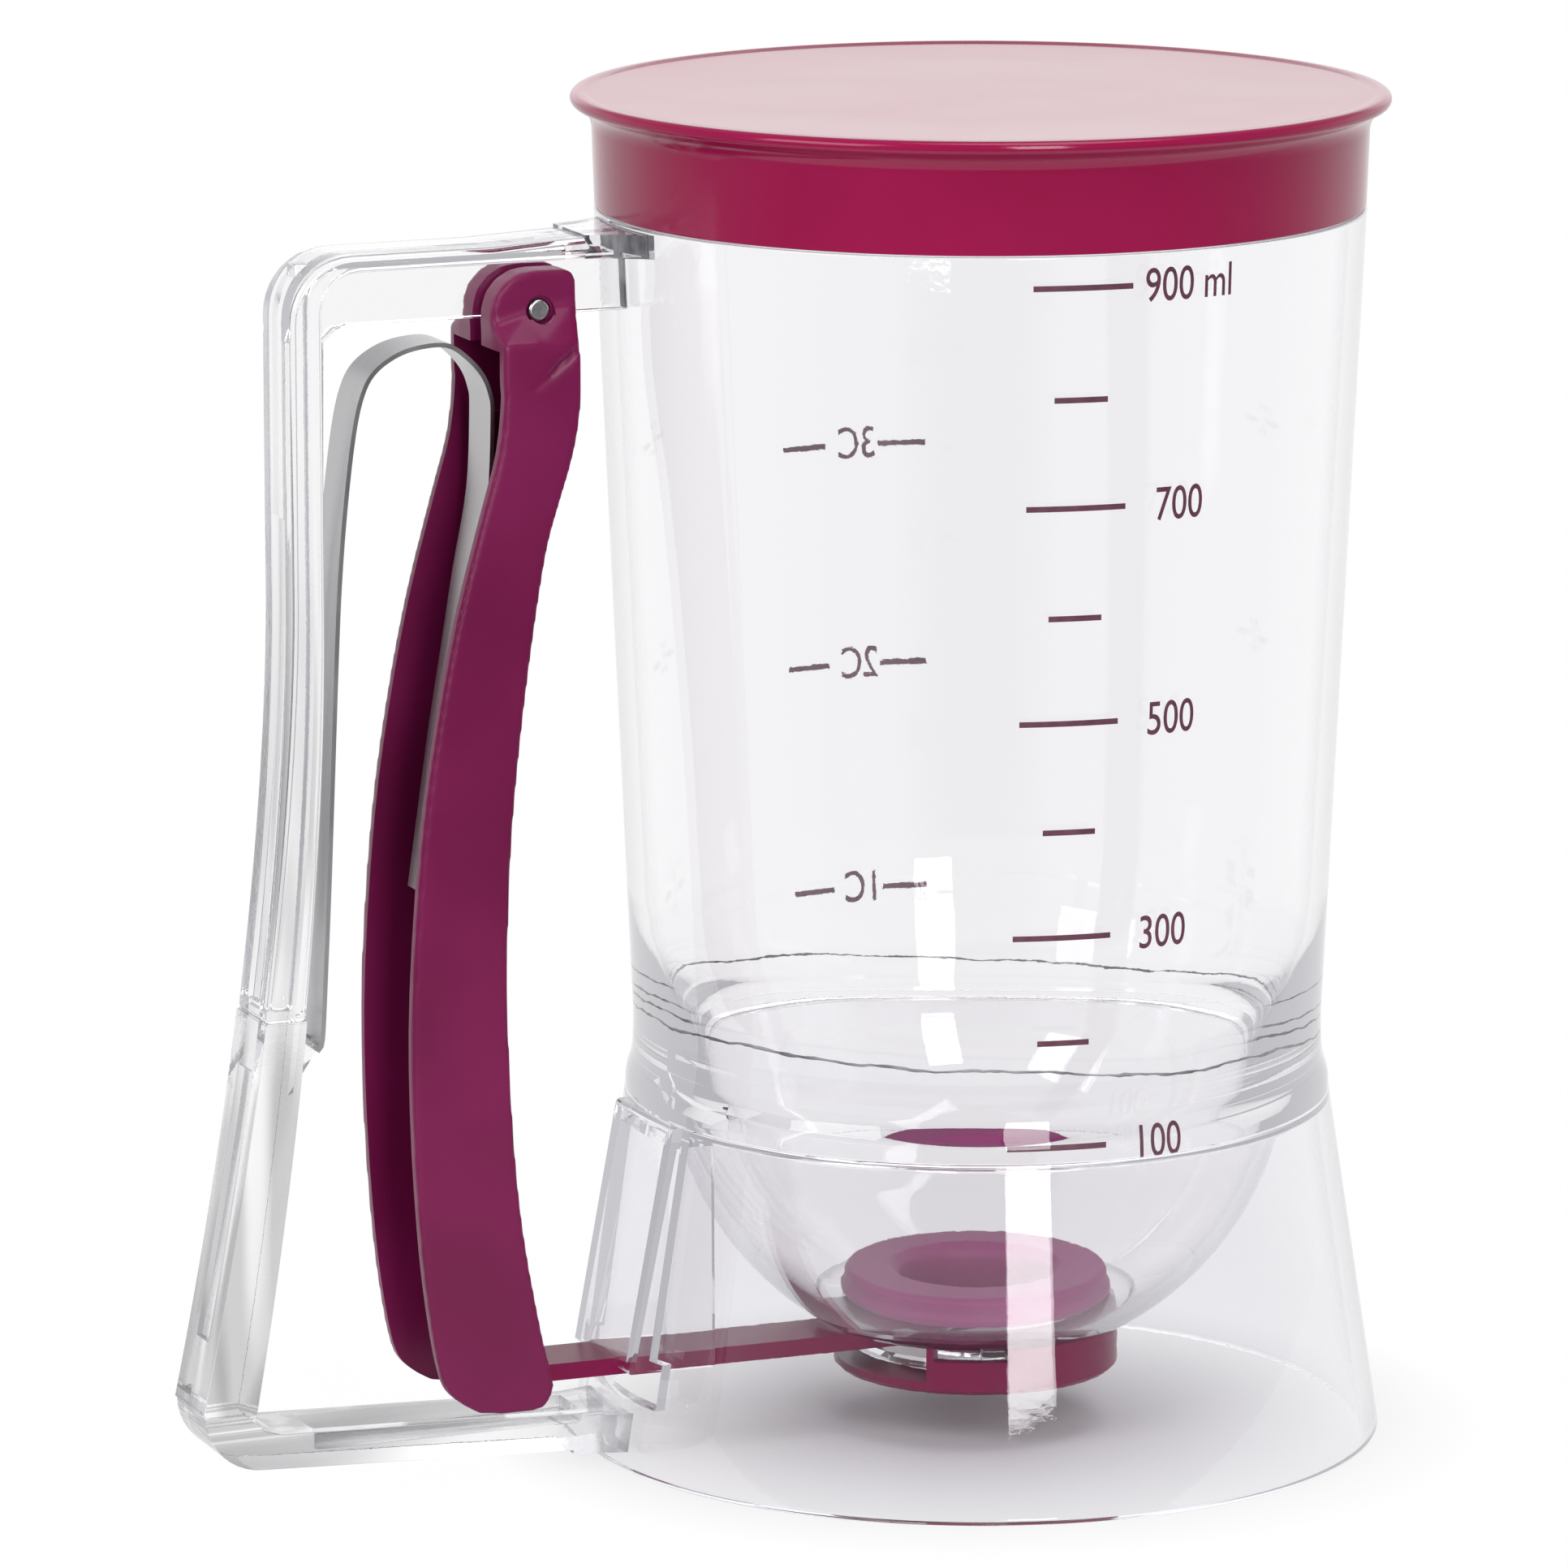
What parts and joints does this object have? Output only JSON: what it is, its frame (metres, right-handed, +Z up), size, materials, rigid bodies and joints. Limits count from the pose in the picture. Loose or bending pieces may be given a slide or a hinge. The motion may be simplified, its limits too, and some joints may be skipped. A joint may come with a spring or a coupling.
{
  "type": "batter dispenser",
  "caption": "Clear tapered batter dispenser on a flared base, with a lift-off lid and a sprung lever in the handle that opens a slide valve below the bowl.",
  "frame": {"origin": "the cup's axis at the table plane", "axes": "+Z up along the cup's axis, the handle points along -X, +Y across the handle"},
  "size_m": [0.1675, 0.1096, 0.1823],
  "materials": {
    "clear_plastic": "clear moulded plastic, glossy",
    "lid_plastic": "raspberry, smooth, slightly translucent",
    "lever_plastic": "raspberry, satin",
    "valve_plastic": "raspberry, smooth",
    "silicone": "raspberry silicone, satin",
    "steel": "bright strip and pin"
  },
  "bodies": {
    "body": {"cup": "clear_plastic", "bowl": "clear_plastic", "upper_handle": "clear_plastic", "lower_handle": "clear_plastic", "base": "clear_plastic", "seal": "silicone", "leaf_spring": "steel"},
    "lid": {"lid": "lid_plastic"},
    "lever": {"lever": "lever_plastic", "pivot_pin": "steel"},
    "slide": {"valve_slide": "valve_plastic"},
    "ring": {"outlet_ring": "valve_plastic"}
  },
  "joints": [
    {"name": "lid_lift", "type": "slide", "parent": "body", "child": "lid", "axis": [0, 0, 1], "range_m": [0, 0.04]},
    {"name": "lever_pivot", "type": "hinge", "parent": "body", "child": "lever", "pos_m": [-0.065, 0, 0.15696], "axis": [0, 1, 0], "range_deg": [0, 8], "stiffness_Nm_per_rad": 4, "springref_deg": -6.88, "deforming": ["leaf_spring"]},
    {"name": "valve_slide", "type": "slide", "parent": "body", "child": "slide", "axis": [-1, 0, 0], "range_m": [0, 0.02]},
    {"name": "ring_twist", "type": "hinge", "parent": "body", "child": "ring", "pos_m": [0, 0, 0.0115], "axis": [0, 0, 1], "range_deg": [0, 18]}
  ],
  "couplings": [
    {"joint": "valve_slide", "follows": "lever_pivot", "m_per_rad": 0.143}
  ]
}
